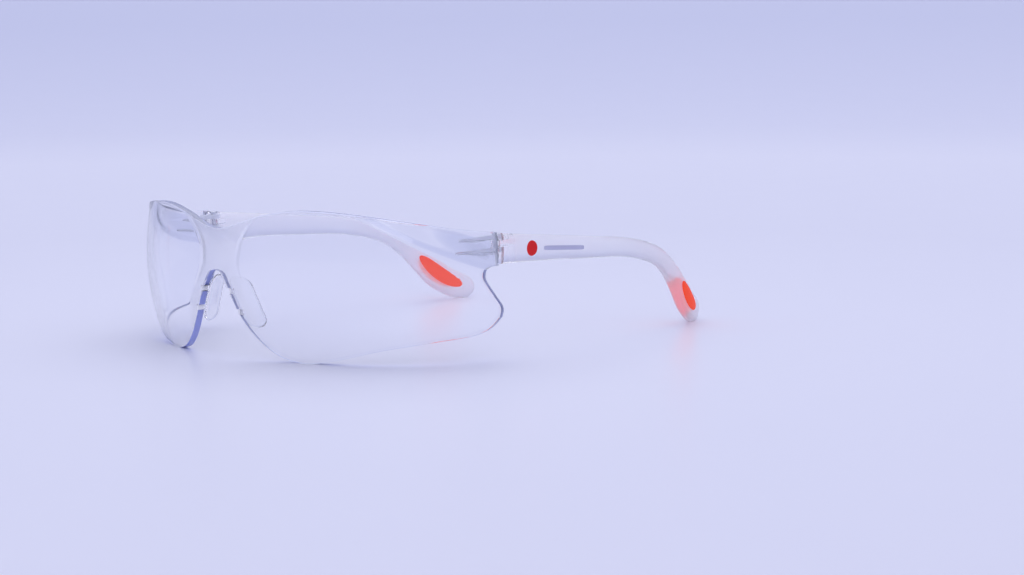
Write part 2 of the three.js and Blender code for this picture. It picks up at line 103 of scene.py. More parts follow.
# The wing of a nose pad, the heights of its two clips, and the clips' own sizes.
PAD = dict(thickness=1.5, back=6.7, top=25.4, bottom=10.2, corner=3.2, least_corner=0.2, bevel=0.5,
           clips=(21.3, 15.0), clip_height=1.6, reach=0.8, clip_width=0.7, slack=0.1, stem=0.4, proud=0.1,
           root=2.2, inset=0.3, splay=0.25, curve=0.1, frame=1.5, sink=0.12)
# The slope inside a pad's raised frame: distance past the frame's edge, and share of the sunk depth.
FRAME_SLOPE = [(0.5, 1), (0.25, 1), (0, 0.6), (-0.3, 0.25)]
# Plain printed dot and stripe on the outer face of the left temple: distance behind its front end, size.
PRINT = dict(depth=0.02, proud=0.02, dot=dict(behind=15.5, half_length=2.4, half_height=2.4),
             stripe=dict(behind=30.5, half_length=9.5, half_height=0.7, power=8))
# Radii of the screw's shank and head, height and rounding of the head, and width and depth of its slot.
SCREW = dict(shank=0.75, head=1.5, height=0.7, edge=0.2, slot=0.4)
ROUNDING = dict(lens=0.22, ears=0.12, clip=0.12)  # radius of the softened edges
SHARP_ANGLE = 35  # degrees past which an edge is shaded as a corner


# ---- Curves and surfaces ----
def smooth(x):
    x = np.clip(x, 0, 1)
    return x * x * (3 - 2 * x)


def hermite(p1, p2, m1, m2, w):
    w2, w3 = w * w, w * w * w
    return (2 * p1 - 2 * p2 + m1 + m2) * w3 + (3 * p2 - 3 * p1 - 2 * m1 - m2) * w2 + m1 * w + p1


def spline(points, share):
    """Catmull-Rom through the points, at a share of the list."""
    n = len(points) - 1
    k = np.clip(np.asarray(share, float), 0, 1) * n
    i = np.minimum(k.astype(int), n - 1)
    p0, p1, p2, p3 = (points[np.clip(i + d, 0, n)] for d in (-1, 0, 1, 2))
    return hermite(p1, p2, (p2 - p0) / 2, (p3 - p1) / 2, (k - i)[..., None])


def centripetal(points, share):
    """Centripetal Catmull-Rom, whose first three columns set the pace."""
    ends = [2 * points[0] - points[1], *points, 2 * points[-1] - points[-2]]
    p = np.array(ends)
    pace = np.maximum(np.linalg.norm(np.diff(p, axis=0)[:, :3], axis=1) ** 0.5, 1e-4)
    n = len(points) - 1
    k = np.clip(np.asarray(share, float), 0, 1) * n
    i = np.minimum(k.astype(int), n - 1)
    p0, p1, p2, p3 = (p[i + d] for d in range(4))
    d0, d1, d2 = (pace[i + d][..., None] for d in range(3))
    m1 = ((p1 - p0) / d0 - (p2 - p0) / (d0 + d1) + (p2 - p1) / d1) * d1
    m2 = ((p2 - p1) / d1 - (p3 - p1) / (d1 + d2) + (p3 - p2) / d2) * d1
    return hermite(p1, p2, m1, m2, (k - i)[..., None])


PLAN_STEP = 0.05
PLAN_ARC = np.arange(0, 110, PLAN_STEP)
PLAN_TURN = np.minimum(math.pi / 2, BRIDGE_CURVATURE * PLAN_ARC + WRAP_GAIN * PLAN_ARC ** 3 / 3)
PLAN_X = np.concatenate([[0], np.cumsum(np.cos((PLAN_TURN[1:] + PLAN_TURN[:-1]) / 2) * PLAN_STEP)])
PLAN_Y = np.concatenate([[0], np.cumsum(np.sin((PLAN_TURN[1:] + PLAN_TURN[:-1]) / 2) * PLAN_STEP)])


def plan(arc):
    """The level curve of the face: x, y and heading at an arc length."""
    return [np.interp(arc, PLAN_ARC, v) for v in (PLAN_X, PLAN_Y, PLAN_TURN)]


CREASE_LINE = spline(CREASE, np.linspace(0, 1, 200))


def crease_arc(z):
    """Arc length of the crease at a height."""
    return np.interp(z, CREASE_LINE[:, 1], CREASE_LINE[:, 0])


def bridge_depth(arc, z):
    """How far the bridge presses the face in."""
    spread = np.where(z > BRIDGE["mid_z"], BRIDGE["up"], BRIDGE["down"])
    depth = BRIDGE["depth"] * np.exp(-(((z - BRIDGE["mid_z"]) / spread) ** 2))
    crease = crease_arc(z)
    inner = BRIDGE["mid_share"] + (1 - BRIDGE["mid_share"]) * (arc / crease) ** 2
    return depth * np.where(arc > crease, np.exp(-(arc - crease) / BRIDGE["fade"]), inner)


def above_crest(arc, z):
    """Height above the crest line of the end block."""
    left = np.clip((END_ARC - arc) / (END_ARC - BLOCK["start"]), 0, BLOCK["furthest"])
    return z - BLOCK["foot_z"] - BLOCK["rise"] * left ** BLOCK["bend"]


def lens_point(arc, z, depth):
    """A point of the lens: arc is signed, and depth runs from 0 on the face to 1 on the back."""
    a = np.abs(arc)
    x, y, turn = plan(a)
    above = above_crest(a, z)
    raised = BLOCK["lift"] * smooth(above / BLOCK["soft"] + 0.5)
    backwards = smooth((a - BLOCK["low"]) / (BLOCK["high"] - BLOCK["low"]))
    thickened = BLOCK["thicken"] * backwards * smooth(above / BLOCK["ramp"])
    slope = (z - SAG_MID_Z) / SAG_RADIUS
    wall = THICKNESS * np.hypot(1, slope) + raised + thickened
    inward = (z - SAG_MID_Z) * slope / 2 + bridge_depth(a, z) - raised + depth * wall
    side = np.where(np.asarray(arc) < 0, -1, 1)
    return np.stack([side * (x - np.sin(turn) * inward), y + np.cos(turn) * inward, z + 0 * inward], -1)


END_Y = float(plan(END_ARC)[1])
PIN_Y = END_Y + HINGE["behind"]
KNUCKLE = (HINGE["z"] - HINGE["knuckle"] / 2, HINGE["z"] + HINGE["knuckle"] / 2)
EARS = [(KNUCKLE[1] + GAP, KNUCKLE[1] + GAP + HINGE["ear"]),
        (KNUCKLE[0] - GAP - HINGE["ear"], KNUCKLE[0] - GAP)]

screw_low, screw_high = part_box("hinge_screw_left")
SHIFT_Y = (screw_low.y + screw_high.y) / 2 / MM - PIN_Y  # from the drawing frame to the row frame


# ---- Meshes ----
def mesh_object(name, points, faces, materials=(), slots=None, mirror=False):
    """A smooth-shaded object from millimetre points in the drawing frame."""
    co = np.asarray(points, float).reshape(-1, 3).copy()
    faces = [list(f) for f in faces]
    if mirror:
        co[:, 0] *= -1
        faces = [f[::-1] for f in faces]
    co[:, 1] += SHIFT_Y
    mesh = bpy.data.meshes.new(name)
    mesh.from_pydata((co * MM).tolist(), [], faces)
    for m in materials:
        mesh.materials.append(m)
    if slots is not None:
        mesh.polygons.foreach_set("material_index", np.asarray(slots, np.int32))
    obj = bpy.data.objects.new(name, mesh)
    bpy.context.scene.collection.objects.link(obj)
    shade(obj)
    return obj


def shade(obj):
    obj.data.polygons.foreach_set("use_smooth", [True] * len(obj.data.polygons))
    obj.data.set_sharp_from_angle(angle=math.radians(SHARP_ANGLE))
    obj.data.update()


def outward(obj):
    """Turns a closed mesh so that its faces point out."""
    b = bmesh.new()
    b.from_mesh(obj.data)
    bmesh.ops.recalc_face_normals(b, faces=b.faces)
    b.to_mesh(obj.data)
    b.free()
    return obj


def settle(obj):
    """Applies an object's modifiers and shades it again."""
    bpy.context.view_layer.update()
    graph = bpy.context.evaluated_depsgraph_get()
    made = bpy.data.meshes.new_from_object(obj.evaluated_get(graph))
    old = obj.data
    obj.modifiers.clear()
    obj.data = made
    bpy.data.meshes.remove(old)
    shade(obj)
    return obj


def paint(obj, slot):
    """Gives all faces one of the object's materials."""
    obj.data.polygons.foreach_set("material_index", [slot] * len(obj.data.polygons))


def carve(obj, tool, operation):
    """Joins a closed tool to obj or cuts it away, and removes the tool."""
    m = obj.modifiers.new("carve", "BOOLEAN")
    m.object, m.operation, m.solver = tool, operation, "MANIFOLD"
    settle(obj)
    bpy.data.objects.remove(tool)
    return obj


def soften(obj, width, segments=2, angle=50):
    """Rounds the edges that are sharper than an angle."""
    m = obj.modifiers.new("soften", "BEVEL")
    m.width, m.segments, m.limit_method = width * MM, segments, "ANGLE"
    m.angle_limit = math.radians(angle)
    m.use_clamp_overlap = True
    return settle(obj)


def merged(parts):
    """Points and faces of several closed shapes as one."""
    points, faces, start = [], [], 0
    for p, f in parts:
        points.append(np.asarray(p, float).reshape(-1, 3))
        faces += [[start + k for k in face] for face in f]
        start += len(points[-1])
    return np.concatenate(points), faces


def flipped(part):
    """The mirror image of a shape on the other side of the glasses."""
    points, faces = part
    return np.asarray(points, float) * [-1, 1, 1], [f[::-1] for f in faces]


def prism(outline, z0, z1):
    """A plan outline stood up from z0 to z1."""
    n = len(outline)
    points = [(x, y, z) for z in (z0, z1) for x, y in outline]
    faces = [[k, (k + 1) % n, n + (k + 1) % n, n + k] for k in range(n)]
    return points, faces + [list(range(n))[::-1], list(range(n, 2 * n))]


def box_shape(x0, x1, y0, y1, z0, z1):
    return prism([(x0, y0), (x1, y0), (x1, y1), (x0, y1)], z0, z1)


def arc_points(x, y, radius, start, end, count):
    angles = np.linspace(math.radians(start), math.radians(end), count)
    return [(x + radius * math.cos(a), y + radius * math.sin(a)) for a in angles]


def disc_outline(radius, count=40):
    return arc_points(HINGE["x"], PIN_Y, radius, 0, 360, count + 1)[:-1]


def bore_tool():
    """The screw's hole through the hinge."""
    return prism(disc_outline(HINGE["bore"]), HINGE["z"] - BEYOND, HINGE["z"] + BEYOND)


def tube(rings):
    """A closed tube through rings of equal count, with flat ends."""
    rings = np.asarray(rings)
    n, count = rings.shape[:2]
    faces = []
    for r in range(n - 1):
        for k in range(count):
            a, b = r * count + k, r * count + (k + 1) % count
            faces.append([a, b, b + count, a + count])
    faces.append(list(range(count))[::-1])
    faces.append(list(range((n - 1) * count, n * count)))
    return rings.reshape(-1, 3), faces


def sheet(columns, rows, front, back, has):
    """A closed sheet between two grids of points, made of the cells that has() accepts. Returns points, faces,
    a list that is 1 on the rim, and the cell of each face."""
    def at(i, j, side):
        return (side * (columns + 1) + i) * (rows + 1) + j

    def inside(i, j):
        return 0 <= i < columns and 0 <= j < rows and has(i, j)

    faces, rim, cells = [], [], []
    for i in range(columns):
        for j in range(rows):
            if not inside(i, j):
                continue
            faces.append([at(i, j, 0), at(i + 1, j, 0), at(i + 1, j + 1, 0), at(i, j + 1, 0)])
            faces.append([at(i, j, 1), at(i, j + 1, 1), at(i + 1, j + 1, 1), at(i + 1, j, 1)])
            rim += [0, 0]
            cells += [(i, j), (i, j)]
            sides = [((i, j - 1), (i, j), (i + 1, j)), ((i + 1, j), (i + 1, j), (i + 1, j + 1)),
                     ((i, j + 1), (i + 1, j + 1), (i, j + 1)), ((i - 1, j), (i, j + 1), (i, j))]
            for beyond, a, b in sides:
                if not inside(*beyond):
                    faces.append([at(*a, 0), at(*a, 1), at(*b, 1), at(*b, 0)])
                    rim.append(1)
                    cells.append((i, j))
    points = np.concatenate([front.reshape(-1, 3), back.reshape(-1, 3)])
    used = sorted({k for f in faces for k in f})
    place = {k: n for n, k in enumerate(used)}
    return points[used], [[place[k] for k in f] for f in faces], rim, cells


# ---- Node helpers ----
def new_material(name):
    m = bpy.data.materials.new(name)
    m.use_nodes = True
    tree = m.node_tree
    shader = tree.nodes["Principled BSDF"]
    return m, tree, shader


def add(tree, kind, **inputs):
    node = tree.nodes.new(kind)
    for name, value in inputs.items():
        node.inputs[name.replace("_", " ")].default_value = value
    return node


def noise(tree, scale, detail=3.0, roughness=0.5):
    """Noise in the piece's own coordinates."""
    where = tree.nodes.new("ShaderNodeTexCoord")
    n = add(tree, "ShaderNodeTexNoise", Scale=scale, Detail=detail, Roughness=roughness)
    tree.links.new(where.outputs["Object"], n.inputs["Vector"])
    return n.outputs["Fac"]


def remap(tree, value, low, high, from_low=0.0, from_high=1.0):
    n = add(tree, "ShaderNodeMapRange")
    for key, v in (("From Min", from_low), ("From Max", from_high), ("To Min", low), ("To Max", high)):
        n.inputs[key].default_value = v
    tree.links.new(value, n.inputs["Value"])
    return n.outputs["Result"]


def product(tree, a, b):
    n = tree.nodes.new("ShaderNodeMath")
    n.operation = "MULTIPLY"
    tree.links.new(a, n.inputs[0])
    tree.links.new(b, n.inputs[1])
    return n.outputs["Value"]


def blend_colours(tree, factor, a, b):
    n = tree.nodes.new("ShaderNodeMix")
    n.data_type = "RGBA"
    tree.links.new(factor, n.inputs["Factor"])
    n.inputs[6].default_value = (*a, 1)
    n.inputs[7].default_value = (*b, 1)
    return n.outputs[2]


def tinted(tree, factor, colour, tint):
    """Fades a colour that other nodes make into a plain tint."""
    n = tree.nodes.new("ShaderNodeMix")
    n.data_type = "RGBA"
    tree.links.new(factor, n.inputs["Factor"])
    tree.links.new(colour, n.inputs[6])
    n.inputs[7].default_value = (*tint, 1)
    return n.outputs[2]


def colour_ramp(tree, factor, tones):
    """Colours along a factor, placed as shares of the last place."""
    n = tree.nodes.new("ShaderNodeValToRGB")
    elements = n.color_ramp.elements
    while len(elements) < len(tones):
        elements.new(1.0)
    for element, (place, colour) in zip(elements, tones):
        element.position, element.color = place / tones[-1][0], (*colour, 1)
    tree.links.new(factor, n.inputs["Fac"])
    return n.outputs["Color"]


def bump(tree, shader, height, strength, distance):
    n = add(tree, "ShaderNodeBump", Strength=strength, Distance=distance)
    tree.links.new(height, n.inputs["Height"])
    tree.links.new(n.outputs["Normal"], shader.inputs["Normal"])


def axis_value(tree, axis):
    """One coordinate of the row frame, in metres."""
    where = tree.nodes.new("ShaderNodeTexCoord")
    split = tree.nodes.new("ShaderNodeSeparateXYZ")
    tree.links.new(where.outputs["Object"], split.inputs["Vector"])
    return split.outputs[axis]


# ---- Materials ----
def clear_plastic(name, tint_low, tint_high, rough_low, rough_high, ior=1.58):
    """Polished clear plastic with faint cloudiness and smears from handling."""
    m, tree, shader = new_material(name)
    shader.inputs["Transmission Weight"].default_value = 1
    shader.inputs["IOR"].default_value = ior
    tree.links.new(blend_colours(tree, noise(tree, 60), tint_low, tint_high), shader.inputs["Base Color"])
    tree.links.new(remap(tree, noise(tree, 140, 5), rough_low, rough_high), shader.inputs["Roughness"])
    return m


def cloudy_plastic(name, low, high, clear, rough, ior=1.5):
    """Partly clear plastic with a diffuse tint of its own. The lens's edges, top and ears use it for painted
    shade and a painted highlight.
    """
    m, tree, shader = new_material(name)
    shader.inputs["Transmission Weight"].default_value = clear
    shader.inputs["IOR"].default_value = ior
    tree.links.new(blend_colours(tree, noise(tree, 80), low, high), shader.inputs["Base Color"])
    tree.links.new(remap(tree, noise(tree, 200, 4), rough, rough + 0.1), shader.inputs["Roughness"])
    return m


LENS_CLEAR = clear_plastic("lens_clear", (0.965, 0.972, 0.998), (0.985, 0.988, 1.0), 0.0, 0.03)
LENS_BRIDGE = clear_plastic("lens_bridge", (0.985, 0.988, 1.0), (0.995, 0.997, 1.0), 0.14, 0.2)
# Painted shade: the lens's edges are painted blue, standing in for the dark blue lines that clear edges show by
# refraction.
LENS_EDGE_PAINTED_SHADE = cloudy_plastic("lens_edge_painted_shade", (0.36, 0.42, 0.92), (0.44, 0.5, 0.97), 0.25, 0.3)
# Painted shade: the ears and the ends of the rim are painted pale lilac, for the streaks that the clear ribs
# show.
LENS_EAR_PAINTED_SHADE = cloudy_plastic("lens_ear_painted_shade", (0.88, 0.9, 1.0), (0.94, 0.955, 1.0), 0.4, 0.35, 1.08)
# Painted highlight: the top edge is a paler, clearer copy of the edge tint, for the bright sky that it
# reflects.
LENS_TOP_PAINTED_HIGHLIGHT = cloudy_plastic("lens_top_painted_highlight", (0.64, 0.69, 0.97), (0.71, 0.75, 1.0), 0.55, 0.2)
LENS_SLOTS = [LENS_CLEAR, LENS_EDGE_PAINTED_SHADE, LENS_EAR_PAINTED_SHADE, LENS_BRIDGE, LENS_TOP_PAINTED_HIGHLIGHT]
FACE_SLOT, PAINTED_EDGE_SLOT, PAINTED_EAR_SLOT, BRIDGE_SLOT, PAINTED_TOP_SLOT = range(len(LENS_SLOTS))
PAD_CLEAR = cloudy_plastic("pad_clear", (0.985, 0.988, 1.0), (0.995, 0.997, 1.0), 0.97, 0.12, 1.22)
# Painted highlight: the clips' heads are plain white, standing in for the glints of light on them.
PAD_CLIP_PAINTED_GLINT = cloudy_plastic("pad_clip_painted_glint", (0.98, 0.98, 1.0), (1.0, 1.0, 1.0), 0.0, 0.3)
PAD_SLOTS = [PAD_CLEAR, PAD_CLIP_PAINTED_GLINT]

POLISH_START, POLISH_END = 2, 7  # millimetres behind the screw where the polish of the hinge ends
CLOUD_START, CLOUD_END = 0.03, 0.055  # where along the temple, in metres of the row frame, it turns cloudier and takes a painted pink


def milky_plastic():
    """Milky nylon: it scatters light and shows blurred shapes. It is clearer where it is polished at the hinge,
    and cloudier in the thick tip, where a faint pink is painted in for the orange light of the inlays scattered
    inside it."""
    m, tree, shader = new_material("temple_milky")
    shader.inputs["IOR"].default_value = 1.25
    shader.inputs["Subsurface Radius"].default_value = (0.004, 0.003, 0.0035)
    shader.inputs["Subsurface Scale"].default_value = 1
    shader.inputs["Subsurface Weight"].default_value = 0.2
    polish_start, polish_end = ((PIN_Y + SHIFT_Y + d) * MM for d in (POLISH_START, POLISH_END))
    milk = remap(tree, axis_value(tree, "Y"), 0, 1, polish_start, polish_end)
    cloud_and_painted_pink = remap(tree, axis_value(tree, "Y"), 0, 1, CLOUD_START, CLOUD_END)
    clear = product(tree, remap(tree, milk, 0.97, 0.92), remap(tree, cloud_and_painted_pink, 1, 0.62))
    tree.links.new(remap(tree, milk, 0.2, 0.33), shader.inputs["Roughness"])
    tree.links.new(clear, shader.inputs["Transmission Weight"])
    plain = blend_colours(tree, noise(tree, 90), (0.995, 0.985, 1.0), (1.0, 0.995, 1.0))
    # Towards the tip the colour fades to a faint pink: painted light, standing in for the orange of the inlays
    # scattered inside.
    tree.links.new(tinted(tree, cloud_and_painted_pink, plain, (1.0, 0.97, 1.0)), shader.inputs["Base Color"])
    bump(tree, shader, noise(tree, 1500, 2), 0.15, 0.0001)
    return m


def soft_rubber(name, low, high, painted_glow):
    """Satin moulded rubber with a fine grain. Its orange emission is a painted glow, though the rubber is no
    lamp.
    """
    m, tree, shader = new_material(name)
    shader.inputs["IOR"].default_value = 1.5
    shader.inputs["Specular IOR Level"].default_value = 0.1
    # Painted glow: the rubber gives out orange light of its own.
    shader.inputs["Emission Color"].default_value = (1.0, 0.1, 0.02, 1)
    shader.inputs["Emission Strength"].default_value = painted_glow
    tree.links.new(blend_colours(tree, noise(tree, 350), low, high), shader.inputs["Base Color"])
    tree.links.new(remap(tree, noise(tree, 700), 0.38, 0.55), shader.inputs["Roughness"])
    bump(tree, shader, noise(tree, 2600, 2), 0.2, 0.0001)
    return m


def steel():
    """Turned steel with fine rings of wear."""
    m, tree, shader = new_material("screw_steel")
    shader.inputs["Metallic"].default_value = 1
    tree.links.new(blend_colours(tree, noise(tree, 900), (0.74, 0.75, 0.79), (0.86, 0.87, 0.9)),
                   shader.inputs["Base Color"])
    tree.links.new(remap(tree, noise(tree, 1400), 0.2, 0.35), shader.inputs["Roughness"])
    return m


TEMPLE_MILKY = milky_plastic()
# The orange inlays carry a painted glow of strength 0.22.
INLAY_RUBBER = soft_rubber("inlay_rubber", (0.98, 0.04, 0.006), (1.0, 0.07, 0.012), 0.22)
SCREW_STEEL = steel()
PRINT_RED = soft_rubber("print_red", (0.72, 0.02, 0.02), (0.8, 0.03, 0.03), 0)
PRINT_GREY = soft_rubber("print_grey", (0.5, 0.5, 0.66), (0.56, 0.56, 0.72), 0)


def keep(obj, body, node):
    """Lets a piece ride on its body in place of a CAD node."""
    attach(obj, body)
    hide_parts(node)


# ---- Lens ----
COLUMN_STEP = 0.8  # along the lower outline
ROWS = 60
TAB_COLUMNS = 7


def warped(share, row, point):
    """Bends the ribs near the bridge so that one of them runs along its crease."""
    edge = CREASE_RIB / (len(RIBS) - 1)
    fade_end = CREASE_FADE * edge
    low, high = spline(RIBS[:, :2], edge), spline(RIBS[:, 2:], edge)
    z = point[..., 1]
    straight = low[0] + (high[0] - low[0]) * row
    crease = crease_arc(z)
    ends = smooth(row / CREASE_END) * smooth((1 - row) / CREASE_END)
    inner = point[..., 0] * (1 + ends * (crease / straight - 1))
    fade = np.clip((fade_end - share) / (fade_end - edge), 0, 1) ** 2
    outer = point[..., 0] + ends * (crease - straight) * fade
    return np.where(share <= edge, inner, outer)


def tab_point(share, row):
    """Arc length and height in the tab behind the last rib."""
    low, high = spline(TAB_FOOT, share), spline(TAB_HEAD, share)
    return low + (high - low) * ((row - REAR_SHARE) / (1 - REAR_SHARE))[..., None]


def rib_point(share, row):
    """Arc length and height between the outlines, for a share of the list of ribs and of the height."""
    low, high = spline(RIBS[:, :2], share), spline(RIBS[:, 2:], share)
    p = low + (high - low) * row[..., None]
    last = RIBS[-1, :2] + (RIBS[-1, 2:] - RIBS[-1, :2]) * row[..., None]
    on_edge = (row <= REAR_SHARE)[..., None]
    rear = np.where(on_edge, spline(REAR_EDGE, row / REAR_SHARE), tab_point(0 * row, row))
    p = p + (rear - last) * (share ** 3)[..., None]
    return np.stack([warped(share, row, p), p[..., 1]], -1)


def column_shares():
    """Even steps along the lower outline, with a column on each rib."""
    shares = []
    spans = len(RIBS) - 1
    for i in range(spans):
        steps = max(3, math.ceil(math.dist(RIBS[i, :2], RIBS[i + 1, :2]) / COLUMN_STEP))
        shares += [(i + k / steps) / spans for k in range(steps)]
    return np.array([*shares, 1.0])


def lens_sheet():
    """Points, faces and material slots of the whole lens, before the ears are joined on."""
    shares = column_shares()
    ribs = len(shares) - 1
    half = ribs + TAB_COLUMNS
    rows = np.linspace(0, 1, ROWS + 1)
    rear_rows = round(ROWS * REAR_SHARE)
    share_grid, row_grid = np.meshgrid(shares, rows, indexing="ij")
    main = rib_point(share_grid, row_grid)
    tab_grid, tab_rows = np.meshgrid(np.arange(1, TAB_COLUMNS + 1) / TAB_COLUMNS, rows, indexing="ij")
    tab = tab_point(tab_grid, np.maximum(tab_rows, REAR_SHARE))
    one_half = np.concatenate([main, tab])
    grid = np.concatenate([one_half[:0:-1] * [-1, 1], one_half])
    arc, z = grid[..., 0], np.maximum(grid[..., 1], 0)

    def has(i, j):
        return j >= rear_rows or abs(i + 0.5 - half) < ribs
    points, faces, slots, cells = sheet(2 * half, ROWS, lens_point(arc, z, 0.0), lens_point(arc, z, 1.0), has)
    crease = int(np.searchsorted(shares, CREASE_RIB / (len(RIBS) - 1) - 1e-9))  # columns up to the crease
    # Rim faces take the painted tints: blue painted shade on the edges, a paler painted highlight on the top
    # row, and the pale lilac painted shade of the ears at the ends.
    for k, (i, j) in enumerate(cells):
        from_middle = abs(i + 0.5 - half)
        if slots[k] == FACE_SLOT and from_middle < crease:
            slots[k] = BRIDGE_SLOT
        if slots[k] == PAINTED_EDGE_SLOT and j == ROWS - 1:
            slots[k] = PAINTED_TOP_SLOT
        if slots[k] == PAINTED_EDGE_SLOT and from_middle > ribs:
            slots[k] = PAINTED_EAR_SLOT
    return points, faces, slots


LOW_LINE = spline(RIBS[:, :2], np.linspace(0, 1, 401))


def nose_arc(z):
    """Arc length of the nose edge at a height."""
    falling = LOW_LINE[:np.argmin(LOW_LINE[:, 1]) + 1]
    return float(np.interp(-z, -falling[:, 1], falling[:, 0]))


def ear_outline():
    """An ear in plan: an eye round the screw, and a rib that runs forward along the back of the lens."""
    x, _, turn = plan(END_ARC - HINGE["rib"])
    rib_y = END_Y - HINGE["rib"]
    back_x = float(x - math.sin(turn) * THICKNESS)
    half = HINGE["rib_end"] / 2
    outline = arc_points(HINGE["x"], PIN_Y, HINGE["radius"], 0, 180, 20)
    outline += [(HINGE["x"] - HINGE["radius"], END_Y - HINGE["blend"] / 3), (back_x - half, rib_y + half),
                (back_x + half, rib_y), (HINGE["x"] + HINGE["radius"], END_Y - HINGE["blend"])]
    return outline


def tapered_ear(low, high):
    """An ear whose rib runs out to a low front end."""
    points, faces = prism(ear_outline(), low, high)
    middle, front = (low + high) / 2, END_Y - HINGE["rib"] + HINGE["rib_end"]
    return [(x, y, z if y > front else middle + HINGE["rib_taper"] * (z - middle)) for x, y, z in points], faces


def pad_notch(z):
    """What one clip's notch takes away from the nose edge."""
    x, y, _ = lens_point(nose_arc(z), z, 0.0)
    half = PAD["clip_height"] / 2 + PAD["slack"]
    deep = 3 * THICKNESS
    return box_shape(x - 4 * PAD["reach"], x + PAD["reach"], y - deep, y + deep, z - half, z + half)


def both_sides(shapes):
    """Shapes of the left side and their mirror images, as one."""
    return merged([*shapes, *[flipped(s) for s in shapes]])


def make_lens():
    points, faces, slots = lens_sheet()
    lens = soften(outward(mesh_object("clear_lens", points, faces, LENS_SLOTS, slots)), ROUNDING["lens"])
    ears = [tapered_ear(low, high) for low, high in EARS]
    ear_tool = soften(outward(mesh_object("ears", *both_sides(ears), LENS_SLOTS)), ROUNDING["ears"])
    # The ears take the pale lilac painted shade.
    paint(ear_tool, PAINTED_EAR_SLOT)
    carve(lens, ear_tool, "UNION")
    cuts = [bore_tool(), *[pad_notch(z) for z in PAD["clips"]]]
    cut_tool = outward(mesh_object("lens_cuts", *both_sides(cuts), LENS_SLOTS))
    carve(lens, cut_tool, "DIFFERENCE")
    keep(lens, "front", "lens")


# ---- Temples ----
TEMPLE_STEPS = 170
TIP_RINGS = np.radians(np.linspace(6, 86, 18))  # where the rings of the rounded end stand
TEMPLE_SHARES = np.linspace(0, 1, 2001)
TEMPLE_LINE = centripetal(TEMPLE[:, [1, 0, 2]], TEMPLE_SHARES)
TEMPLE_RUN = np.concatenate([[0], np.cumsum(np.linalg.norm(np.diff(TEMPLE_LINE, axis=0), axis=1))])
TEMPLE_LENGTH = TEMPLE_RUN[-1]
TEMPLE_ALONG = np.gradient(TEMPLE_LINE, axis=0)
TEMPLE_SIZE = centripetal(np.column_stack([TEMPLE[:, 3:5], 0 * TEMPLE[:, 0]]), TEMPLE_SHARES)


def temple_frame(u):
    """At a share of the temple's length: a point on the outer face, outward, upward, height, thickness."""
    run = np.asarray(u, float) * TEMPLE_LENGTH

    def at(values):
        return np.stack([np.interp(run, TEMPLE_RUN, values[:, k]) for k in range(values.shape[1])], -1)
    along = at(TEMPLE_ALONG)
    along /= np.linalg.norm(along, axis=-1, keepdims=True)
    out = np.stack([along[..., 1], -along[..., 0], 0 * along[..., 0]], -1)
    out /= np.linalg.norm(out, axis=-1, keepdims=True)
    size = at(TEMPLE_SIZE)
    return at(TEMPLE_LINE), out, np.cross(out, along), size[..., 0], size[..., 1]


def temple_point(u, rise, depth):
    """Place on the temple: rise from the middle line, and depth behind the outer face."""
    origin, out, up, _, _ = temple_frame(u)
    return origin + up * np.asarray(rise)[..., None] - out * np.asarray(depth)[..., None]


def temple_ring(u, scale, sides=64):
    a = 2 * np.pi * (np.arange(sides) + 0.5) / sides
    _, _, _, height, thickness = temple_frame(u)

    def squared(c):
        return np.sign(c) * np.abs(c) ** (2 / SECTION_POWER)
    rise = height / 2 * scale * squared(np.sin(a))
    depth = thickness / 2 * (1 - (TIP_FLAT + (1 - TIP_FLAT) * scale) * squared(np.cos(a)))
    ring = temple_point(np.full(sides, u), rise, depth)
    ring[:, 2] = np.maximum(ring[:, 2], 0)
    return ring


def temple_blank():
    shares = [i / TEMPLE_STEPS * (1 - TIP_ROUND / TEMPLE_LENGTH) for i in range(TEMPLE_STEPS + 1)]
    rings = [temple_ring(share, 1) for share in shares]
    for angle in TIP_RINGS:
        rings.append(temple_ring(1 - TIP_ROUND * (1 - math.sin(angle)) / TEMPLE_LENGTH, math.cos(angle)))
    return tube(rings)


def surface_depth(u, rise):
    """How far the rounded face of the temple lies behind its flat middle."""
    _, _, _, height, thickness = temple_frame(u)
    share = np.clip(np.abs(2 * rise / height), 0, 1)
    return thickness / 2 * (1 - (1 - share ** SECTION_POWER) ** (1 / SECTION_POWER))


OVAL_SCALES = [1, 0.985, 0.95, 0.9, 0.8, 0.6, 0.4, 0.2, 0.02]  # rings over the crown of an oval
OVAL_CROWN = 6  # how flat the crown is before it falls to its rim


def oval_shape(face, place, middle, size, depth, proud, sides=80):
    """A crowned oval set into one face of the temple."""
    a = 2 * np.pi * np.arange(sides) / sides
    levels = [(1, depth)] + [(scale, -proud * math.sqrt(1 - scale ** OVAL_CROWN)) for scale in OVAL_SCALES]
    power = size.get("power", 2)
    reach = (np.abs(np.cos(a)) ** power + np.abs(np.sin(a)) ** power) ** (-1 / power)
    rings = []
    for scale, level in levels:
        u = place + scale * size["half_length"] * reach * np.cos(a) / TEMPLE_LENGTH
        rise = middle + scale * size["half_height"] * reach * np.sin(a)
        behind = surface_depth(u, rise) + level
        rings.append(temple_point(u, rise, behind if face == "outer" else temple_frame(u)[4] - behind))
    return tube(rings)


def knuckle_outline():
    """The knuckle in plan: an eye round the screw and a foot on the inside of the temple."""
    x, radius = HINGE["x"], HINGE["radius"]
    root = x + HINGE["fairing_rise"]
    outline = arc_points(x, PIN_Y, radius, 180, 270, 16)
    outline += [(root, PIN_Y - radius), (root, PIN_Y + HINGE["fairing"]),
                (root - HINGE["fairing_depth"], PIN_Y + HINGE["fairing"]), (x - radius, PIN_Y + radius / 2)]
    return outline


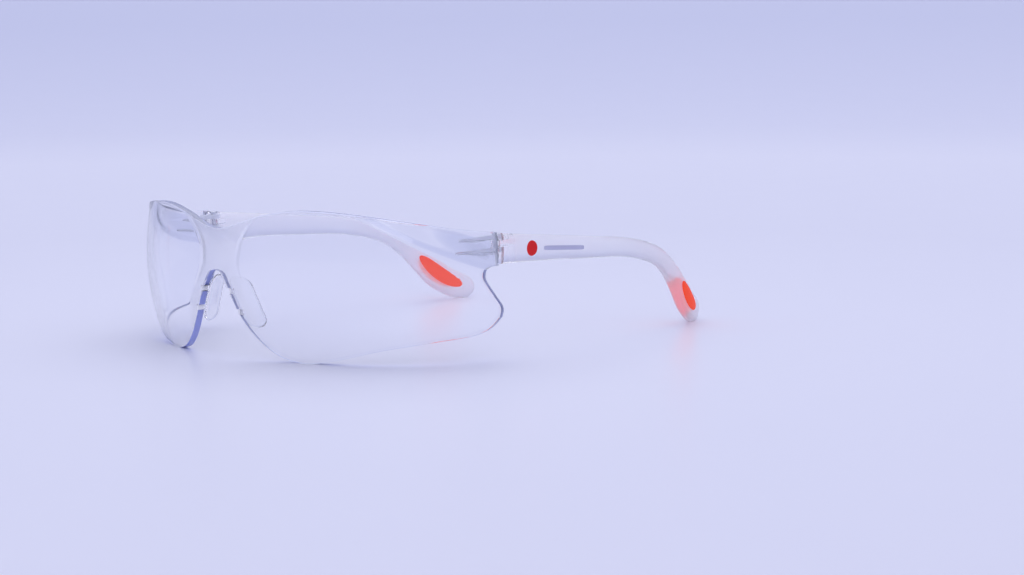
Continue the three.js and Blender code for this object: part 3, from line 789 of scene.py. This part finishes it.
def hinge_cuts():
    """Room for the ears of the lens to turn in, and the plumb front face."""
    swing = HINGE["radius"] + GAP
    low, high = KNUCKLE[0] - GAP / 2, KNUCKLE[1] + GAP / 2
    inside, outside = HINGE["x"] - BEYOND, HINGE["x"] + BEYOND
    ahead, above = END_Y - BEYOND, HINGE["z"] + BEYOND
    shapes = []
    for z0, z1 in ((high, above), (0, low)):
        shapes.append(box_shape(inside, HINGE["x"] + swing, ahead, PIN_Y, z0, z1))
        shapes.append(box_shape(inside, HINGE["x"], ahead, PIN_Y + swing, z0, z1))
        shapes.append(prism(disc_outline(swing), z0, z1))
    shapes.append(box_shape(inside, HINGE["x"] + HINGE["bore"], ahead, PIN_Y, low, high))
    shapes.append(box_shape(inside, outside, ahead, END_Y + GAP, 0, above))
    return shapes


def make_temple(side):
    mirror = side == "right"

    def made(name, shape):
        return outward(mesh_object(name, *shape, [TEMPLE_MILKY], mirror=mirror))
    temple = made("milky_temple_" + side, temple_blank())
    for k, shape in enumerate(hinge_cuts()):
        carve(temple, made(f"cut{k}", shape), "DIFFERENCE")
    carve(temple, made("knuckle", prism(knuckle_outline(), *KNUCKLE)), "UNION")
    carve(temple, made("bore", bore_tool()), "DIFFERENCE")
    keep(temple, side + "_temple", "temple_" + side)
    for face, size in INLAY_FACES.items():
        shape = oval_shape(face, INLAY["place"], size["rise"], size, INLAY["depth"], INLAY["proud"])
        inlay = outward(mesh_object(f"oval_{face}_{side}", *shape, [INLAY_RUBBER], mirror=mirror))
        keep(inlay, side + "_temple", f"tip_inlay_{face}_{side}")


def make_print():
    for name, material in (("dot", PRINT_RED), ("stripe", PRINT_GREY)):
        size = PRINT[name]
        shape = oval_shape("outer", size["behind"] / TEMPLE_LENGTH, 0, size, PRINT["depth"], PRINT["proud"])
        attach(outward(mesh_object("printed_" + name, *shape, [material])), "left_temple")


# ---- Nose pads ----
def rounded_outline(low, high, corner, count=10):
    """A rounded rectangle in depth and height, anticlockwise."""
    (x0, z0), (x1, z1) = low, high
    outline = []
    for x, z, start in ((x1, z0, -90), (x1, z1, 0), (x0, z1, 90), (x0, z0, 180)):
        cx = x - math.copysign(corner, x - (x0 + x1) / 2)
        cz = z - math.copysign(corner, z - (z0 + z1) / 2)
        outline += arc_points(cx, cz, corner, start, start + 90, count)
    return outline


def pad_rings():
    """Rings of the wing: inset from the outline, and height across its thickness. Its nose side has a raised
    frame round a shallow sunk field."""
    t, bevel, frame_width, sink = (PAD[k] for k in ("thickness", "bevel", "frame", "sink"))
    quarter = [math.radians(a) for a in (0, 22, 45, 67, 90)]
    nose = [(bevel * (1 - math.cos(a)), bevel * (1 - math.sin(a))) for a in quarter]
    rings = [(frame_width + past, sink * share) for past, share in FRAME_SLOPE]
    rings += [(inset, across) for inset, across in nose[::-1]]
    rings += [(inset, t - across) for inset, across in nose]
    return rings


def make_pad(side):
    bevel = PAD["bevel"]
    top, low = [lens_point(nose_arc(z), z, 1.0) for z in PAD["clips"]]
    span = PAD["clips"][1] - PAD["clips"][0]
    lean, recede = (low[0] - top[0]) / span, (low[1] - top[1]) / span

    def place(depth, z, across):
        x = top[0] + lean * (z - PAD["clips"][0]) + PAD["splay"] * depth + across - PAD["inset"]
        return [x, top[1] + recede * (z - PAD["clips"][0]) + depth + GAP + PAD["curve"], z]

    rings = []
    for inset, across in pad_rings():
        corner = max(PAD["least_corner"], PAD["corner"] - inset)
        low_corner = (inset, PAD["bottom"] + inset)
        high_corner = (PAD["back"] - inset, PAD["top"] - inset)
        outline = rounded_outline(low_corner, high_corner, corner)
        rings.append([place(d, z, across - bevel) for d, z in outline])
    pad = outward(mesh_object("clear_pad_" + side, *tube(rings), PAD_SLOTS, mirror=side == "right"))
    for z in PAD["clips"]:
        face, behind = lens_point(nose_arc(z), z, 0.0), lens_point(nose_arc(z), z, 1.0)
        half = PAD["clip_height"] / 2
        inner = face[0] + PAD["reach"] - PAD["slack"]
        outer = inner - PAD["clip_width"]
        back = place(PAD["root"], z, 0)[1]
        head = box_shape(outer, inner, face[1] - PAD["proud"], behind[1] + PAD["proud"], z - half, z + half)
        stem = box_shape(outer, inner, behind[1] - PAD["proud"], back, z - PAD["stem"], z + PAD["stem"])
        # The stem is clear, and the head is painted white as a painted glint.
        for slot, shape in enumerate((stem, head)):
            clip = outward(mesh_object("clip", *shape, PAD_SLOTS, mirror=side == "right"))
            paint(soften(clip, ROUNDING["clip"]), slot)
            carve(pad, clip, "UNION")
    keep(pad, "front", "nose_pad_" + side)


# ---- Screws ----
def make_screw(side):
    low = EARS[1][0] + GAP
    seat = EARS[0][1] + GAP
    top = seat + SCREW["height"]
    shank, head, edge = SCREW["shank"], SCREW["head"], SCREW["edge"]
    profile = [(shank - edge, low), (shank, low + edge), (shank, seat), (head - edge / 2, seat)]
    profile.append((head, seat + edge / 2))
    for angle in np.linspace(0, math.pi / 2, 6):
        profile.append((head - edge * (1 - math.cos(angle)), top - edge * (1 - math.sin(angle))))
    rings = [[(x, y, z) for x, y in disc_outline(radius)] for radius, z in profile]
    mirror = side == "right"
    screw = outward(mesh_object("slotted_screw_" + side, *tube(rings), [SCREW_STEEL], mirror=mirror))
    half = SCREW["slot"] / 2
    slot = box_shape(HINGE["x"] - 2 * head, HINGE["x"] + 2 * head, PIN_Y - half, PIN_Y + half,
                     top - SCREW["slot"], top + 1)
    carve(screw, outward(mesh_object("slot", *slot, [SCREW_STEEL], mirror=mirror)), "DIFFERENCE")
    keep(screw, "front", "hinge_screw_" + side)


make_lens()
for side in ("left", "right"):
    make_temple(side)
    make_pad(side)
    make_screw(side)
make_print()


# ---- Camera, floor and light ----
CAMERA = dict(azimuth=43.51, elevation=6.265, roll=-0.5, distance=0.8263, aim=(0.03698, 0.0083, 0.0165),
              lens=89.24)


def make_camera():
    azimuth, elevation = math.radians(CAMERA["azimuth"]), math.radians(CAMERA["elevation"])
    back = Vector((math.sin(azimuth) * math.cos(elevation), -math.cos(azimuth) * math.cos(elevation),
                   math.sin(elevation)))
    data = bpy.data.cameras.new("camera")
    data.sensor_width = 36
    data.lens = CAMERA["lens"]
    data.clip_start, data.clip_end = 0.01, 100
    camera = bpy.data.objects.new("camera", data)
    bpy.context.scene.collection.objects.link(camera)
    turn = back.to_track_quat("Z", "Y").to_matrix().to_4x4()
    place = Matrix.Translation(Vector(CAMERA["aim"]) + back * CAMERA["distance"])
    camera.matrix_world = place @ turn @ Matrix.Rotation(math.radians(CAMERA["roll"]), 4, "Z")
    bpy.context.scene.camera = camera


# Radius of the level floor and of its rim, how steeply it curls up, and how finely it is divided.
STAGE = dict(first=0.15, flat=1.35, rim=4.0, rise=0.22, flat_rings=8, rings=30, sides=96)
# Distance from the middle, in metres, and the colour of the floor there: a painted pool of light round the
# glasses, and painted shade that darkens it far away.
FLOOR_TONES_WITH_PAINTED_LIGHT = [(0.15, (0.82, 0.82, 0.91)), (0.4, (0.78, 0.78, 0.875)), (1.0, (0.785, 0.785, 0.88)),
               (2.0, (0.59, 0.61, 0.77))]
SKY_HIGH, SKY_LOW = (0.69, 0.71, 0.89), (0.60, 0.62, 0.81)
SKY_STRENGTH = 1.015
LIGHT_BOUNCES = 32  # clear plastic needs many


def make_stage():
    """A round studio floor that curls up gently far away, so that no edge shows."""
    radii = [0.0, *np.linspace(STAGE["first"], STAGE["flat"], STAGE["flat_rings"]),
             *np.linspace(STAGE["flat"], STAGE["rim"], STAGE["rings"])[1:]]
    sides = STAGE["sides"]
    turns = np.linspace(0, 2 * math.pi, sides, endpoint=False)
    points = [(0, 0, 0)]
    for r in radii[1:]:
        z = STAGE["rise"] * max(0, r - STAGE["flat"]) ** 2
        points += [(r * math.cos(a), r * math.sin(a), z) for a in turns]
    faces = [[0, 1 + k, 1 + (k + 1) % sides] for k in range(sides)]
    for ring in range(len(radii) - 2):
        a, b = 1 + ring * sides, 1 + (ring + 1) * sides
        faces += [[a + k, b + k, b + (k + 1) % sides, a + (k + 1) % sides] for k in range(sides)]
    mesh = bpy.data.meshes.new("floor")
    mesh.from_pydata(points, [], faces)
    mesh.polygons.foreach_set("use_smooth", [True] * len(mesh.polygons))
    floor = bpy.data.objects.new("floor", mesh)
    bpy.context.scene.collection.objects.link(floor)
    m, tree, shader = new_material("floor_with_painted_light")
    shader.inputs["IOR"].default_value = 1.4
    where = tree.nodes.new("ShaderNodeTexCoord")
    reach = tree.nodes.new("ShaderNodeVectorMath")
    reach.operation = "LENGTH"
    tree.links.new(where.outputs["Object"], reach.inputs[0])
    # The floor's colour fades with distance: painted light near the middle, painted shade far off.
    fade = remap(tree, reach.outputs["Value"], 0, 1, 0, FLOOR_TONES_WITH_PAINTED_LIGHT[-1][0])
    tree.links.new(colour_ramp(tree, fade, FLOOR_TONES_WITH_PAINTED_LIGHT), shader.inputs["Base Color"])
    tree.links.new(remap(tree, noise(tree, 30), 0.3, 0.34), shader.inputs["Roughness"])
    floor.data.materials.append(m)


def make_world():
    """A studio that is bright overhead and dimmer and bluer low down."""
    world = bpy.data.worlds.new("studio")
    bpy.context.scene.world = world
    world.use_nodes = True
    tree = world.node_tree
    where = tree.nodes.new("ShaderNodeTexCoord")
    split = tree.nodes.new("ShaderNodeSeparateXYZ")
    tree.links.new(where.outputs["Generated"], split.inputs["Vector"])
    height = remap(tree, split.outputs["Z"], 0, 1, 0.05, 0.9)
    tree.links.new(blend_colours(tree, height, SKY_LOW, SKY_HIGH), tree.nodes["Background"].inputs["Color"])
    tree.nodes["Background"].inputs["Strength"].default_value = SKY_STRENGTH


def make_softbox(name, size, place, aim, watts, colour):
    light = bpy.data.lights.new(name, "AREA")
    light.shape = "RECTANGLE"
    light.size, light.size_y = size
    light.energy, light.color = watts, colour
    obj = bpy.data.objects.new(name, light)
    bpy.context.scene.collection.objects.link(obj)
    obj.location = place
    obj.rotation_euler = (Vector(aim) - Vector(place)).to_track_quat("-Z", "Y").to_euler()


make_camera()
make_stage()
make_world()
make_softbox("overhead", (2.6, 2.6), (-0.7, 1.0, 1.9), (-0.3, 0.4, 0), 15.9, (1.0, 1.0, 0.94))
make_softbox("front", (1.2, 0.8), (1.5, -1.3, 1.1), (0.03, 0.02, 0.02), 4.5, (1.0, 1.0, 0.94))

scene = bpy.context.scene
scene.view_settings.view_transform = "Standard"
scene.cycles.max_bounces = LIGHT_BOUNCES
scene.cycles.transmission_bounces = LIGHT_BOUNCES
scene.cycles.transparent_max_bounces = LIGHT_BOUNCES
